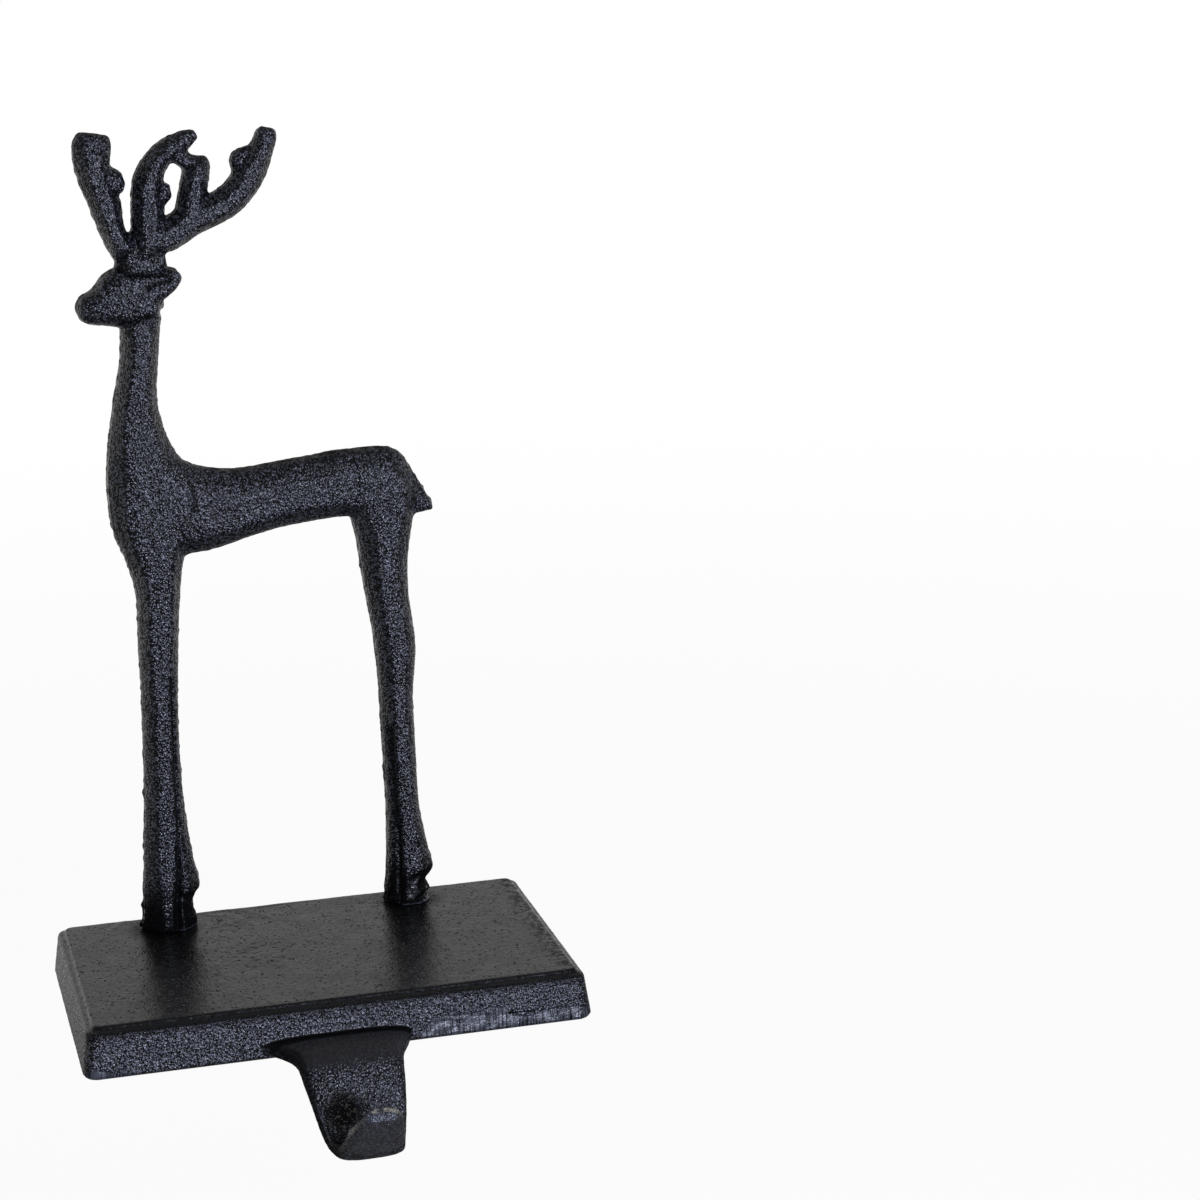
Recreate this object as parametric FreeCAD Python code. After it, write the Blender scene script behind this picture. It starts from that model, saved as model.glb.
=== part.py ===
import FreeCAD, Part
import math
import os

# Mantel stocking holder in cast iron: a standing reindeer screwed to a drafted base plate
# that carries a stocking hook. Millimetres. The origin is the centre of the base's rest plane,
# +X runs along the base, +Y to the back and +Z up. The reindeer looks towards -X.

# Base plate
base_length = 120.4
base_depth = 75.0
ledge_height = 10.9
panel_step = 1.0
ledge_width = 1.2
base_draft = 8.0
base_corner_radius = 3.4
rest_edge_bevel = 0.8
ledge_edge_bevel = 0.7
panel_edge_bevel = 0.4
counterbore_diameter = 9.0
counterbore_depth = 4.0

# Hook, cast with the base
hook_reach = 33.5
hook_drop = 16.3
hook_width = 23.6
hook_root_flare = 7.0
hook_thickness = 5.4
hook_top_height = 5.0
hook_tip_rise = 15.2
hook_lean = 2.0
hook_root_depth = 3.8

# Reindeer casting, with its mid-plane this far in front of the base's back edge
figure_from_back = 10.0
leg_thickness = 11.0
foot_thickness = 12.4
body_thickness = 14.4
neck_thickness = 12.4
head_thickness = 13.4
ear_spread = 6.6
antler_thickness = 10.2
foreleg_x = -31.0
hind_leg_x = 29.3

# Fixing screws, up through the base into the feet
screw_diameter = 4.0
screw_engagement = 9.0
screw_head_diameter = 7.6
screw_head_height = 2.7
screw_clearance = 0.5
screw_head_bevel = 0.9
screw_drive_span = 4.6
screw_drive_width = 1.0
screw_drive_depth = 1.3
blind_hole_margin = 1.5

# Section shapes
limb_flat_count = 16
antler_flat_count = 12
limb_squareness = 3.1
antler_squareness = 2.6
hook_squareness = 3.2

vector = FreeCAD.Vector
along_x = vector(1, 0, 0)
along_y = vector(0, 1, 0)
along_z = vector(0, 0, 1)
panel_height = ledge_height + panel_step
figure_setback = base_depth / 2 - figure_from_back


def squared(value, squareness):
    """A sine or cosine pushed outwards, so that it draws a rounded square instead of a circle."""
    return math.copysign(abs(value) ** (2 / squareness), value)


def oval(centre, wide_axis, thick_axis, half_wide, half_thick, squareness, flat_count=limb_flat_count):
    """A closed section of narrow flats on a rounded square, one flat at each end of both axes."""
    half_step = math.pi / flat_count
    reach = squared(math.cos(half_step), squareness)
    points = []
    for flat in range(flat_count):
        angle = (2 * flat + 1) * half_step
        across = half_wide * squared(math.cos(angle), squareness) / reach
        through = half_thick * squared(math.sin(angle), squareness) / reach
        points.append(centre + wide_axis * across + thick_axis * through)
    return Part.makePolygon(points + points[:1])


def column(levels):
    """An upright cast limb from (height, left, right, thickness) levels above the soles."""
    sections = []
    for height, left, right, thickness in levels:
        centre = vector((left + right) / 2, figure_setback, panel_height + height)
        half_wide = (right - left) / 2
        sections.append(oval(centre, along_x, along_y, half_wide, thickness / 2, limb_squareness))
    return Part.makeLoft(sections, True, False)


def trunk(stations, side=0.0):
    """A cast form along X from (x, bottom, top, thickness) stations, heights above the soles."""
    sections = []
    for x, bottom, top, thickness in stations:
        centre = vector(x, figure_setback + side, panel_height + (bottom + top) / 2)
        half_tall = (top - bottom) / 2
        sections.append(oval(centre, along_z, along_y, half_tall, thickness / 2, limb_squareness))
    return Part.makeLoft(sections, True, False)


def branch(stations):
    """An antler branch from (x, height, width, share of the antler thickness) along its middle."""
    middles = [vector(x, figure_setback, panel_height + height) for x, height, width, share in stations]
    sections = []
    for place, (x, height, width, share) in enumerate(stations):
        before = middles[max(place - 1, 0)]
        after = middles[min(place + 1, len(middles) - 1)]
        direction = (after - before).normalize()
        across = direction.cross(along_y)
        half_thick = share * antler_thickness / 2
        sections.append(oval(
            middles[place], across, along_y, width / 2, half_thick, antler_squareness, antler_flat_count))
    return Part.makeLoft(sections, True, False)


def make_foreleg_and_neck():
    """Foot, fetlock, shin, chest and neck in one upright run."""
    x = foreleg_x
    return column([
        (0.0, x - 7.3, x + 6.1, foot_thickness),
        (2.5, x - 7.0, x + 5.9, foot_thickness - 0.2),
        (4.8, x - 6.8, x + 5.4, foot_thickness - 0.5),
        (6.9, x - 6.6, x + 5.4, foot_thickness - 0.8),
        (8.2, x - 6.5, x + 6.1, foot_thickness - 1.0),
        (9.4, x - 6.4, x + 7.1, foot_thickness - 0.9),
        (11.2, x - 6.3, x + 7.3, leg_thickness + 0.5),
        (15.0, x - 6.0, x + 6.5, leg_thickness + 0.3),
        (20.0, x - 5.7, x + 5.7, leg_thickness + 0.1),
        (29.0, x - 5.1, x + 4.8, leg_thickness),
        (40.0, x - 4.5, x + 4.3, leg_thickness),
        (51.0, x - 4.2, x + 4.4, leg_thickness + 0.2),
        (61.0, x - 3.9, x + 4.8, leg_thickness + 0.6),
        (74.0, x - 3.9, x + 5.7, leg_thickness + 1.4),
        (86.0, x - 3.8, x + 6.8, body_thickness - 1.0),
        (94.0, x - 5.8, x + 8.2, body_thickness - 0.2),
        (101.0, x - 8.2, x + 10.0, body_thickness + 0.4),
        (109.0, x - 9.0, x + 10.6, body_thickness + 0.4),
        (116.0, x - 8.8, x + 9.0, body_thickness),
        (122.0, x - 8.0, x + 6.4, neck_thickness + 1.4),
        (128.0, x - 7.0, x + 4.5, neck_thickness + 0.8),
        (134.0, x - 5.8, x + 4.0, neck_thickness + 0.4),
        (143.0, x - 3.9, x + 4.9, neck_thickness),
        (150.0, x - 3.5, x + 5.7, neck_thickness - 0.2),
        (153.8, x - 3.4, x + 6.0, neck_thickness - 1.2),
        (157.0, x - 3.3, x + 5.4, neck_thickness - 2.4),
    ])


def make_hind_leg():
    """Foot, fetlock, shank, hock and thigh, closed over by the haunch."""
    x = hind_leg_x
    return column([
        (0.0, x - 6.4, x + 5.3, foot_thickness),
        (2.5, x - 6.1, x + 4.9, foot_thickness - 0.2),
        (4.6, x - 5.9, x + 4.1, foot_thickness - 0.6),
        (6.0, x - 5.7, x + 4.2, foot_thickness - 0.8),
        (7.3, x - 5.6, x + 5.5, foot_thickness - 0.9),
        (8.7, x - 5.5, x + 6.1, foot_thickness - 0.8),
        (11.2, x - 5.3, x + 5.5, leg_thickness + 0.4),
        (15.5, x - 5.2, x + 4.6, leg_thickness + 0.2),
        (21.0, x - 5.0, x + 3.6, leg_thickness + 0.1),
        (34.0, x - 5.1, x + 2.8, leg_thickness),
        (44.0, x - 5.3, x + 2.7, leg_thickness),
        (55.0, x - 5.5, x + 2.7, leg_thickness + 0.2),
        (63.0, x - 5.8, x + 3.6, leg_thickness + 0.4),
        (70.0, x - 6.4, x + 3.6, leg_thickness + 0.8),
        (78.0, x - 7.5, x + 2.7, leg_thickness + 1.2),
        (86.0, x - 8.6, x + 2.5, leg_thickness + 1.8),
        (95.0, x - 9.6, x + 3.6, body_thickness - 0.8),
        (101.0, x - 11.0, x + 4.8, body_thickness),
        (107.0, x - 11.6, x + 5.5, body_thickness + 0.2),
        (112.0, x - 10.2, x + 3.6, body_thickness - 1.0),
        (115.2, x - 7.2, x + 1.2, body_thickness - 4.4),
        (116.4, x - 4.2, x - 1.0, body_thickness - 9.0),
    ])


def make_body():
    """The back and belly from the shoulders to the tip of the tail."""
    return trunk([
        (-32.0, 98.0, 123.0, body_thickness - 2.6),
        (-28.0, 96.0, 124.3, body_thickness - 1.4),
        (-24.5, 94.2, 120.9, body_thickness - 0.4),
        (-21.0, 94.5, 116.7, body_thickness),
        (-15.0, 95.3, 114.5, body_thickness),
        (-7.0, 97.4, 113.9, body_thickness - 0.2),
        (3.0, 99.5, 115.0, body_thickness - 0.4),
        (10.0, 100.2, 115.7, body_thickness - 0.4),
        (17.0, 100.4, 116.5, body_thickness),
        (24.0, 99.9, 116.7, body_thickness + 0.2),
        (29.2, 100.0, 116.2, body_thickness - 0.6),
        (32.8, 100.0, 112.8, body_thickness - 3.4),
        (35.6, 100.0, 107.9, body_thickness - 7.0),
        (37.6, 100.1, 104.2, body_thickness - 9.8),
        (38.9, 100.4, 102.2, body_thickness - 11.6),
    ])


def make_head():
    """The wedge of the head from the muzzle to the poll."""
    return trunk([
        (-44.5, 153.9, 156.2, head_thickness - 7.8),
        (-43.7, 152.4, 157.3, head_thickness - 4.9),
        (-42.0, 151.5, 158.5, head_thickness - 3.0),
        (-40.0, 151.2, 159.8, head_thickness - 1.8),
        (-38.4, 151.0, 162.0, head_thickness - 1.1),
        (-36.4, 150.6, 163.4, head_thickness - 0.6),
        (-34.2, 150.2, 164.3, head_thickness - 0.2),
        (-31.0, 150.0, 164.7, head_thickness),
        (-27.8, 150.4, 164.5, head_thickness - 0.2),
        (-25.9, 152.2, 163.5, head_thickness - 1.6),
        (-24.4, 154.6, 162.3, head_thickness - 4.4),
    ])


def make_ear(side):
    """One pointed ear laid back from the side of the head."""
    return trunk([
        (-30.5, 156.8, 163.6, 5.4),
        (-26.0, 156.2, 163.6, 6.0),
        (-22.6, 157.6, 163.5, 5.6),
        (-20.8, 159.3, 163.1, 4.6),
        (-19.8, 160.7, 162.1, 3.0),
    ], side)


def make_antlers():
    """The front beam, the curled tine, the upright tine and the rear beam with their snags."""
    root = [
        (-29.3, 160.5, 12.8, 0.9),
        (-28.9, 163.5, 12.4, 0.94),
        (-28.8, 166.5, 11.4, 0.96),
        (-29.2, 169.5, 9.8, 0.96),
    ]
    front_beam = [
        (-30.0, 162.2, 7.2, 1.0),
        (-32.1, 168.2, 6.9, 1.0),
        (-35.2, 174.2, 6.1, 1.0),
        (-36.5, 180.0, 7.3, 0.98),
        (-38.3, 186.0, 7.7, 0.98),
        (-38.7, 190.6, 8.7, 0.94),
        (-38.2, 193.8, 8.5, 0.84),
        (-37.9, 195.5, 6.4, 0.66),
    ]
    front_snag = [
        (-37.2, 184.0, 7.0, 0.84),
        (-33.8, 184.3, 6.2, 0.76),
        (-32.4, 184.6, 4.8, 0.62),
        (-31.6, 184.8, 2.8, 0.42),
    ]
    curled_tine = [
        (-28.8, 162.6, 7.6, 1.0),
        (-27.3, 168.6, 7.6, 1.0),
        (-26.5, 174.4, 7.6, 1.0),
        (-26.4, 180.2, 7.4, 0.98),
        (-25.6, 185.2, 6.6, 0.98),
        (-23.1, 189.3, 5.6, 0.94),
        (-19.5, 191.9, 5.2, 0.88),
        (-16.6, 193.4, 4.0, 0.72),
        (-14.1, 194.5, 1.8, 0.44),
    ]
    curled_snag = [
        (-25.4, 180.8, 7.0, 0.84),
        (-22.7, 181.2, 5.6, 0.72),
        (-20.9, 181.6, 2.8, 0.5),
    ]
    upright_tine = [
        (-25.0, 169.6, 5.4, 1.0),
        (-20.9, 170.7, 5.4, 1.0),
        (-17.2, 174.9, 6.4, 1.0),
        (-15.8, 180.0, 6.6, 0.98),
        (-14.9, 184.0, 6.3, 0.96),
        (-14.4, 187.2, 6.0, 0.9),
        (-14.4, 188.9, 4.8, 0.74),
    ]
    bridge = [(-19.2, 190.5, 3.6, 0.8), (-16.2, 188.0, 3.8, 0.8), (-12.1, 187.9, 3.0, 0.7)]
    rear_beam = [
        (-28.2, 166.2, 6.4, 1.0),
        (-23.6, 170.9, 6.6, 1.0),
        (-17.8, 173.6, 7.3, 1.0),
        (-11.9, 176.2, 7.1, 1.0),
        (-7.0, 178.8, 7.1, 0.98),
        (-3.4, 182.5, 7.1, 0.98),
        (-1.0, 186.6, 7.1, 0.96),
        (1.1, 190.3, 5.5, 0.9),
        (2.3, 193.1, 5.0, 0.8),
        (2.6, 195.1, 3.0, 0.6),
    ]
    rear_snag = [
        (-0.5, 187.6, 7.4, 0.84),
        (-3.8, 187.2, 6.8, 0.74),
        (-5.6, 187.0, 5.0, 0.6),
        (-6.3, 186.9, 3.0, 0.42),
    ]
    outlines = [
        root, front_beam, front_snag, curled_tine, curled_snag, upright_tine, bridge, rear_beam, rear_snag,
    ]
    return [branch(outline) for outline in outlines]


def make_reindeer():
    """The whole casting, drilled from below for its two screws."""
    casting = make_foreleg_and_neck()
    forms = [make_hind_leg(), make_body(), make_head(), make_ear(ear_spread / 2), make_ear(-ear_spread / 2)]
    casting = casting.fuse(forms + make_antlers())
    hole_depth = screw_engagement + blind_hole_margin
    for place in screw_places():
        sole = place + along_z * panel_height
        casting = casting.cut(Part.makeCylinder(screw_diameter / 2, hole_depth, sole))
    return casting.removeSplitter()


def screw_places():
    """Where the two screw axes cross the rest plane."""
    return [vector(foreleg_x, figure_setback, 0), vector(hind_leg_x, figure_setback, 0)]


def rounded_rectangle(length, depth, radius, height):
    """A rectangle with round corners, centred on the Z axis at a height."""
    reach = length / 2 - radius
    span = depth / 2 - radius
    centres = [(reach, span), (-reach, span), (-reach, -span), (reach, -span)]
    corners = [
        Part.makeCircle(radius, vector(x, y, height), along_z, 90 * turn, 90 * turn + 90)
        for turn, (x, y) in enumerate(centres)
    ]
    sides = [
        Part.makeLine(corners[turn - 1].Vertexes[1].Point, corners[turn].Vertexes[0].Point)
        for turn in range(4)
    ]
    return Part.Wire(Part.sortEdges(corners + sides)[0])


def drafted_block(levels):
    """A block through (height, inset) levels, its corners tightening as the sides draw in."""
    sections = []
    for height, inset in levels:
        length = base_length - 2 * inset
        depth = base_depth - 2 * inset
        sections.append(rounded_rectangle(length, depth, base_corner_radius - inset / 2, height))
    return Part.makeLoft(sections, True, True)


def make_plate():
    """The drafted plate with its ledge and raised panel."""
    slope = math.tan(math.radians(base_draft))
    shoulder = ledge_height - ledge_edge_bevel
    plate = drafted_block([
        (0, rest_edge_bevel),
        (rest_edge_bevel, slope * rest_edge_bevel),
        (shoulder, slope * shoulder),
        (ledge_height, slope * ledge_height + ledge_edge_bevel / 2),
    ])
    panel_inset = slope * ledge_height + ledge_edge_bevel / 2 + ledge_width
    panel = drafted_block([
        (shoulder, panel_inset - panel_edge_bevel / 2),
        (panel_height - panel_edge_bevel, panel_inset),
        (panel_height, panel_inset + panel_edge_bevel),
    ])
    return plate.fuse(panel)


def make_hook():
    """The tongue, the bend down and the curled tip, from the rim of the plate outwards."""
    front = -base_depth / 2
    half_width = hook_width / 2
    half_thick = hook_thickness / 2
    tongue_middle = hook_top_height - half_thick
    low_middle = -hook_drop + half_thick
    fall = tongue_middle - low_middle
    rise = hook_tip_rise - half_thick
    # Share of reach, middle height, slope in degrees, half width, shares of thickness and lean
    root_reach = -hook_root_depth / hook_reach
    stations = [
        (root_reach, tongue_middle + 0.15 * half_thick, 0, half_width + hook_root_flare, 0.8, -0.5),
        (0.015, tongue_middle + 0.1 * half_thick, 0, half_width + 0.76 * hook_root_flare, 0.84, -0.65),
        (0.134, low_middle + 0.969 * fall, -8, half_width + 0.32 * hook_root_flare, 1.14, 0.0),
        (0.269, low_middle + 0.874 * fall, -34, 1.03 * half_width, 1.18, -0.05),
        (0.382, low_middle + 0.648 * fall, -60, 0.975 * half_width, 1.06, 0.0),
        (0.472, low_middle + 0.352 * fall, -62, 0.9 * half_width, 1.0, 0.15),
        (0.573, low_middle + 0.082 * fall, -36, 0.81 * half_width, 1.0, 0.25),
        (0.71, low_middle, 0, 0.7 * half_width, 1.0, 0.3),
        (0.848, low_middle + 0.208 * rise, 48, 0.6 * half_width, 0.92, 0.4),
        (0.937, low_middle + 0.592 * rise, 62, 0.51 * half_width, 0.84, 0.6),
        (0.985, low_middle + 0.824 * rise, 68, 0.4 * half_width, 0.7, 1.0),
        (1.0, low_middle + rise, 70, 0.27 * half_width, 0.36, 1.0),
    ]
    sections = []
    for reach, height, slope, half_wide, thickness, lean in stations:
        turn = math.radians(slope)
        thick_axis = vector(0, math.sin(turn), math.cos(turn))
        middle = vector(lean * hook_lean, front - reach * hook_reach, height)
        half_deep = thickness * half_thick
        sections.append(oval(middle, along_x, thick_axis, half_wide, half_deep, hook_squareness))
    return Part.makeLoft(sections, True, False)


def make_base():
    """Plate and hook as one casting, with a counterbored clearance hole under each foot."""
    casting = make_plate().fuse(make_hook())
    hole_radius = (screw_diameter + screw_clearance) / 2
    for place in screw_places():
        casting = casting.cut(Part.makeCylinder(hole_radius, panel_height, place))
        casting = casting.cut(Part.makeCylinder(counterbore_diameter / 2, counterbore_depth, place))
    return casting.removeSplitter()


def level_edges(shape, height):
    """The edges that lie flat at a height."""
    tolerance = 0.01
    return [
        edge for edge in shape.Edges
        if abs(edge.BoundBox.ZMin - height) < tolerance and abs(edge.BoundBox.ZMax - height) < tolerance
    ]


def make_screw(place):
    """A pan head screw, its head up against the floor of the counterbore."""
    head_base = counterbore_depth - screw_head_height
    head = Part.makeCylinder(screw_head_diameter / 2, screw_head_height, place + along_z * head_base)
    head = head.makeChamfer(screw_head_bevel, level_edges(head, head_base))
    shank_length = panel_height - counterbore_depth + screw_engagement
    shank = Part.makeCylinder(screw_diameter / 2, shank_length, place + along_z * counterbore_depth)
    screw = head.fuse(shank).removeSplitter()
    for turn in (0, 90):
        slot = Part.makeBox(
            screw_drive_span, screw_drive_width, screw_drive_depth,
            vector(-screw_drive_span / 2, -screw_drive_width / 2, 0))
        slot.rotate(vector(0, 0, 0), along_z, turn)
        slot.translate(place + along_z * head_base)
        screw = screw.cut(slot)
    return screw


def main():
    os.makedirs("parts", exist_ok=True)
    nodes = {
        "reindeer": make_reindeer(),
        "base": make_base(),
        "fixing_screws": Part.makeCompound([make_screw(place) for place in screw_places()]),
    }
    for name, shape in nodes.items():
        shape.exportStep("parts/" + name + ".step")
        print(name, len(shape.Solids), "solids", round(shape.Volume / 1000, 2), "cm3", shape.isValid())


main()
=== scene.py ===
import math

import bpy
import numpy as np
from mathutils import Matrix, Vector, noise


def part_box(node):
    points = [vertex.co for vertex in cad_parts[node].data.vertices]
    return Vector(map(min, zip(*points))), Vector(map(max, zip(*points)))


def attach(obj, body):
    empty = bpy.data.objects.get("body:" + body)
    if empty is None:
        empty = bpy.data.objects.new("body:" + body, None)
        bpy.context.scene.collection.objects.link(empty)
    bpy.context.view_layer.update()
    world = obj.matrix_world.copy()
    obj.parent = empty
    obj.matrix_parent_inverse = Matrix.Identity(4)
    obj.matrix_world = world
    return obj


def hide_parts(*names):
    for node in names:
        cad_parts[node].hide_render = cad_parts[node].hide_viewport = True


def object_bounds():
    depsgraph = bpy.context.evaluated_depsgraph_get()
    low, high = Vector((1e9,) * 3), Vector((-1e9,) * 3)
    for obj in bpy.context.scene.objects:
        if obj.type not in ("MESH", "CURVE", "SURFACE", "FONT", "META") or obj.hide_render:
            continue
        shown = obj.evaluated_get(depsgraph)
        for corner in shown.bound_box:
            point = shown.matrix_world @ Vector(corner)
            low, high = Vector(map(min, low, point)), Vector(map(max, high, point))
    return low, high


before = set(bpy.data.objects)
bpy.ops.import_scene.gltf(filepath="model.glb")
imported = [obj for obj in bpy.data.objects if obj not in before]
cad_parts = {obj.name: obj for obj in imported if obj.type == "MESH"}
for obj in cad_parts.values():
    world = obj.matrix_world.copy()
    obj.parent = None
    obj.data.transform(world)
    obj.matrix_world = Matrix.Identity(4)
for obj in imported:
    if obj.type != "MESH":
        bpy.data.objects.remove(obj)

bl_info = {
    "name": "Cast Iron Stocking Holder",
    "version": (1, 0, 0),
    "blender": (4, 5, 0),
    "location": "View3D > Sidebar > Holder",
    "description": "Sand-cast skin, black paint and studio for a reindeer mantel stocking holder",
    "category": "Object",
}

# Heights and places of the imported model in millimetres, as the marks and paints use them
cad_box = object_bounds()
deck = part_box("base")[1][2] * 1000
ledge = deck - 1.0
mid_plane = (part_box("reindeer")[0][1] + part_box("reindeer")[1][1]) * 500

matt_black = (0.003, 0.003, 0.003, 1.0)
pure_white = (1.0, 1.0, 1.0, 1.0)


# Sizes and colours a user would change

class CastingSettings(bpy.types.PropertyGroup):
    figure_mesh: bpy.props.FloatProperty(
        name="Figure mesh", description="Mesh size of the reindeer's skin", default=0.00048, unit="LENGTH")
    base_mesh: bpy.props.FloatProperty(
        name="Base mesh", description="Mesh size of the base before its flats are thinned",
        default=0.00042, unit="LENGTH")
    flat_share: bpy.props.FloatProperty(
        name="Faces kept on the base", description="Share of the base's faces left after thinning",
        default=0.6, subtype="FACTOR")
    sand_relief: bpy.props.FloatProperty(
        name="Sand relief", description="Height of the unevenness left by the sand mould",
        default=0.00009, unit="LENGTH")
    flash_height: bpy.props.FloatProperty(
        name="Flash height", description="How far the fin of the parting line stands out",
        default=0.00042, unit="LENGTH")
    side_slope: bpy.props.FloatProperty(
        name="Side slope", description="How far the rounded sides turn into the pattern's plain slopes",
        default=0.65, subtype="FACTOR")
    seed: bpy.props.IntProperty(
        name="Seed", description="Start of the casting's random unevenness", default=7)


class PaintSettings(bpy.types.PropertyGroup):
    paint_black: bpy.props.FloatVectorProperty(
        name="Paint in the hollows", description="Colour of the paint between the grains",
        subtype="COLOR", size=4, default=(0.003, 0.003, 0.004, 1.0))
    # Painted highlight: the lighter bluish colour laid on the grain tops, where the lamps glint on them
    paint_lit: bpy.props.FloatVectorProperty(
        name="Paint on the grains", description="Colour of the paint where the grains are rubbed",
        subtype="COLOR", size=4, default=(0.040, 0.042, 0.056, 1.0))
    deck_grey: bpy.props.FloatVectorProperty(
        name="Paint of the deck", description="Colour of the smoother paint on the base's top",
        subtype="COLOR", size=4, default=(0.005, 0.005, 0.005, 1.0))
    # Painted reflection: a lighter grey on the hook's top and flat tip, for the satin reflection they show
    hook_sheen_grey: bpy.props.FloatVectorProperty(
        name="Plain paint of the hook", description="Colour of the even paint on the hook's top and tip",
        subtype="COLOR", size=4, default=(0.030, 0.029, 0.030, 1.0))
    # Also the colour of the painted highlight along the reindeer's soles and of the thin light line on the
    # hook's web
    ground_iron_and_highlight: bpy.props.FloatVectorProperty(
        name="Ground iron", description="Colour of the thin paint over the grinding marks",
        subtype="COLOR", size=4, default=(0.055, 0.059, 0.074, 1.0))
    rust: bpy.props.FloatVectorProperty(
        name="Rust", description="Colour of the specks in the hollow of the hook's web",
        subtype="COLOR", size=4, default=(0.062, 0.044, 0.022, 1.0))
    # Painted highlight: the brass-coloured glint along the rim of the hook's tip
    rim_glint_colour: bpy.props.FloatVectorProperty(
        name="Worn glint", description="Colour where the hook's tip is rubbed through",
        subtype="COLOR", size=4, default=(0.44, 0.39, 0.31, 1.0))
    grain: bpy.props.FloatProperty(
        name="Grain", description="Width of one grain of the cast skin", default=0.00055, unit="LENGTH")
    grain_height: bpy.props.FloatProperty(
        name="Grain height", description="How far the grains stand out of the skin",
        default=0.00034, unit="LENGTH")
    gloss: bpy.props.FloatProperty(
        name="Paint roughness", description="Roughness of the paint on the grains",
        default=0.25, subtype="FACTOR")


class StudioSettings(bpy.types.PropertyGroup):
    camera_place: bpy.props.FloatVectorProperty(
        name="Camera place", description="Where the camera stands", subtype="TRANSLATION", size=3,
        default=(-0.10706, -0.67438, 0.26947))
    camera_aim: bpy.props.FloatVectorProperty(
        name="Camera aim", description="The point in the middle of the picture",
        subtype="TRANSLATION", size=3, default=(0.07387, 0.0, 0.09236))
    camera_roll: bpy.props.FloatProperty(
        name="Camera roll", description="Turn of the camera about its own line of sight",
        default=math.radians(-1.37), subtype="ANGLE")
    camera_lens: bpy.props.FloatProperty(
        name="Camera lens", description="Focal length of the camera in millimetres", default=89.13)
    front_lamp: bpy.props.FloatProperty(
        name="Front lamp", description="Power of the cool soft lamp in front", default=6.2, unit="POWER")
    lamp_place: bpy.props.FloatVectorProperty(
        name="Lamp place", description="Where the middle of the front lamp is", subtype="TRANSLATION",
        size=3, default=(0.24, -0.88, 0.11))
    lamp_width: bpy.props.FloatProperty(
        name="Lamp width", description="Width of the front lamp", default=0.55, unit="LENGTH")
    lamp_height: bpy.props.FloatProperty(
        name="Lamp height", description="Height of the front lamp", default=0.24, unit="LENGTH")
    upper_lamp: bpy.props.FloatProperty(
        name="Upper lamp", description="Power of the cool soft lamp above the camera", default=2.6,
        unit="POWER")
    upper_place: bpy.props.FloatVectorProperty(
        name="Upper lamp place", description="Where the middle of the upper lamp is",
        subtype="TRANSLATION", size=3, default=(0.22, -0.72, 0.60))
    upper_width: bpy.props.FloatProperty(
        name="Upper lamp width", description="Width of the upper lamp", default=0.40, unit="LENGTH")
    upper_height: bpy.props.FloatProperty(
        name="Upper lamp height", description="Height of the upper lamp", default=0.30, unit="LENGTH")
    lamp_colour: bpy.props.FloatVectorProperty(
        name="Lamp colour", description="Cool colour of both lamps", subtype="COLOR", size=3,
        default=(0.74, 0.79, 1.0))
    world_light: bpy.props.FloatProperty(
        name="World light", description="Strength of the light from all round", default=0.28)
    room_dark: bpy.props.FloatProperty(
        name="Room behind the camera", description="Brightness of the room that gloss shows in front",
        default=0.10)
    floor_drop: bpy.props.FloatProperty(
        name="Floor drop", description="How far the floor is under the holder's rest face",
        default=0.100, unit="LENGTH")


# Casting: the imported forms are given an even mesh, softened and marked

def make_skin(node_name, piece_name, mesh_size, softening):
    """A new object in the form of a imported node, with an even mesh and softened corners."""
    piece = bpy.data.objects.new(piece_name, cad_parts[node_name].data.copy())
    bpy.context.scene.collection.objects.link(piece)
    remesh = piece.modifiers.new("Even mesh", "REMESH")
    remesh.mode = "VOXEL"
    remesh.voxel_size = mesh_size
    soften = piece.modifiers.new("Softened corners", "SMOOTH")
    soften.factor = 0.5
    soften.iterations = softening
    apply_modifiers(piece)
    if len(piece.data.vertices) < 1000:
        raise RuntimeError(f"The skin of {piece_name} came out empty")
    return piece


def apply_modifiers(piece):
    """Keeps the piece's form as its modifiers leave it, and takes them off."""
    evaluated = piece.evaluated_get(bpy.context.evaluated_depsgraph_get())
    piece.data = bpy.data.meshes.new_from_object(evaluated)
    piece.modifiers.clear()


def read_surface(piece):
    """Points in millimetres and normals of a piece, as two arrays."""
    count = len(piece.data.vertices)
    points = np.empty(count * 3)
    normals = np.empty(count * 3)
    piece.data.vertices.foreach_get("co", points)
    piece.data.vertex_normals.foreach_get("vector", normals)
    return points.reshape(-1, 3) * 1000, normals.reshape(-1, 3)


def write_surface(piece, points):
    """Puts the points back in metres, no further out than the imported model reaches."""
    metres = np.clip(points / 1000, np.array(cad_box[0]), np.array(cad_box[1]))
    piece.data.vertices.foreach_set("co", metres.ravel())
    piece.data.update()


def unevenness(points, size, seed):
    """Smooth random heights between about -1 and 1, in lumps of a size in millimetres."""
    shift = Vector((seed * 17.3, seed * 5.9, seed * 11.1))
    return np.array([noise.noise(Vector(point) / size + shift) for point in points])


def along_path(points, path, half_width):
    """1 on a path of (x, z) points, falling off to each side and past both ends."""
    best = np.full(len(points), 1e9)
    flat = points[:, [0, 2]]
    for start, end in zip(path[:-1], path[1:]):
        start = np.array(start)
        run = np.array(end) - start
        share = np.clip((flat - start) @ run / (run @ run), 0, 1)
        best = np.minimum(best, np.linalg.norm(flat - start - share[:, None] * run, axis=1))
    return np.exp(-(best / half_width) ** 2)


def near(points, centre, radius):
    """1 at a point, falling off smoothly to nothing around it."""
    return np.exp(-(np.linalg.norm(points - np.array(centre), axis=1) / radius) ** 2)


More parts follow.
